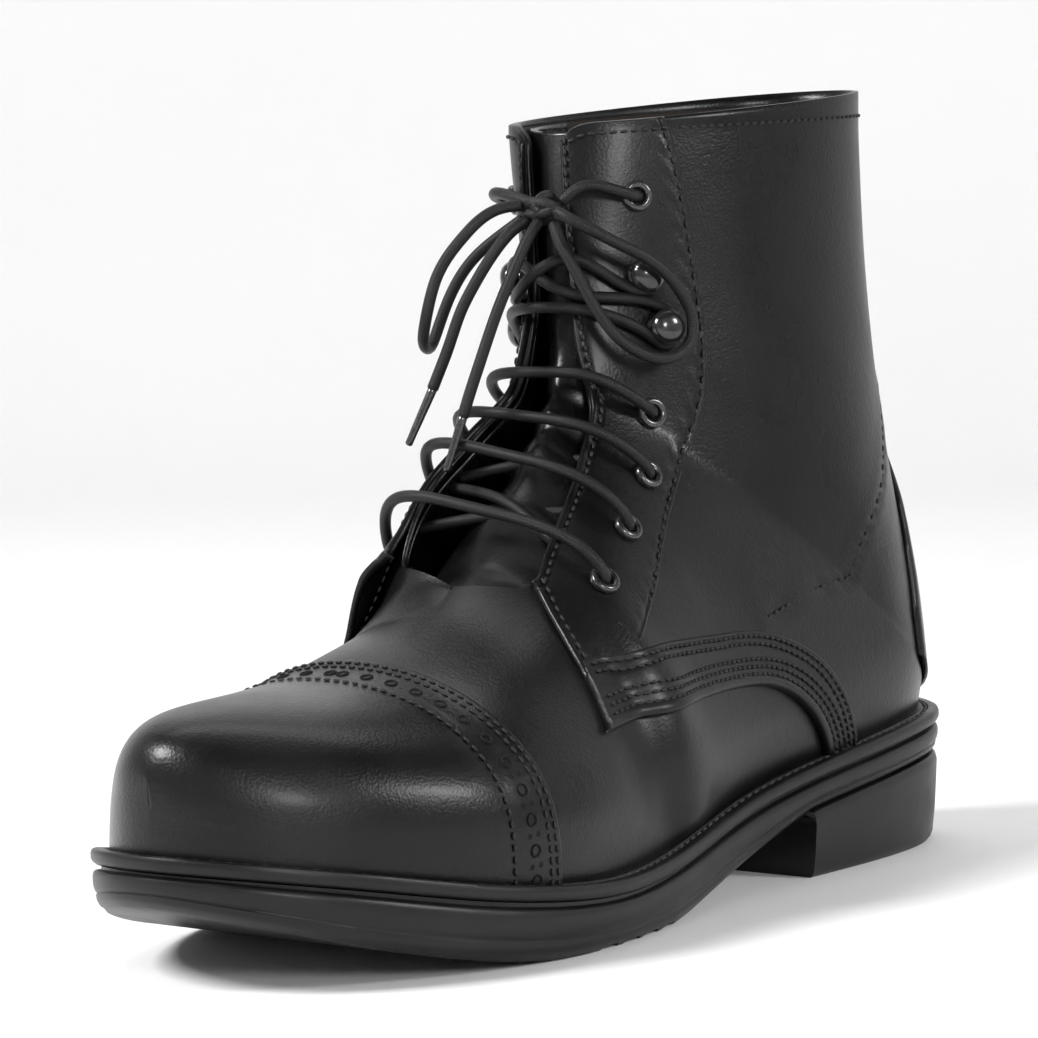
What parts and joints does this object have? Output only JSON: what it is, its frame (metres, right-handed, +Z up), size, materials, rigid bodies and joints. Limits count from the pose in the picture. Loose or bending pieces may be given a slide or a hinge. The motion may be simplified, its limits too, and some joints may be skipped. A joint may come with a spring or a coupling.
{
  "type": "paddock boot",
  "caption": "Ankle-high lace-up riding boot of black leather with a perforated toe cap, side straps, lacing hooks and a rubber sole with a low heel.",
  "frame": {"origin": "on the floor, under the middle of the sole's length and width", "axes": "+X from heel to toe, +Y to the foot's inner side, +Z up from the floor"},
  "size_m": [0.29, 0.1041, 0.1923],
  "materials": {
    "leather": "smooth black leather with a soft shine",
    "tongue_leather": "thin glossy black leather",
    "insole_leather": "dull dark brown lining leather",
    "rubber": "black moulded rubber, satin",
    "enamel": "black enamel on metal",
    "lace": "round waxed black lace"
  },
  "bodies": {
    "root": {"upper": "leather", "toe_cap": "leather", "facing_inner": "leather", "facing_outer": "leather", "strap_inner": "leather", "strap_outer": "leather", "backstay": "leather", "tongue": "tongue_leather", "insole": "insole_leather", "welt": "rubber", "outsole": "rubber", "heel": "rubber", "eyelet_top_inner": "enamel", "eyelet_top_outer": "enamel", "hook_upper_inner": "enamel", "hook_upper_outer": "enamel", "hook_lower_inner": "enamel", "hook_lower_outer": "enamel", "eyelet_a_inner": "enamel", "eyelet_a_outer": "enamel", "eyelet_b_inner": "enamel", "eyelet_b_outer": "enamel", "eyelet_c_inner": "enamel", "eyelet_c_outer": "enamel", "eyelet_d_inner": "enamel", "eyelet_d_outer": "enamel", "spur_rest": "leather", "lace_bar_a": "lace", "lace_bar_b": "lace", "lace_bar_c": "lace", "lace_bar_d": "lace", "lace_crossing": "lace", "lace_top_inner": "lace", "lace_top_outer": "lace", "lace_knot": "lace", "lace_loop_outer": "lace", "lace_loop_inner": "lace", "lace_end_outer": "lace", "lace_end_inner": "lace", "aglet_outer": "enamel", "aglet_inner": "enamel"}
  },
  "joints": []
}
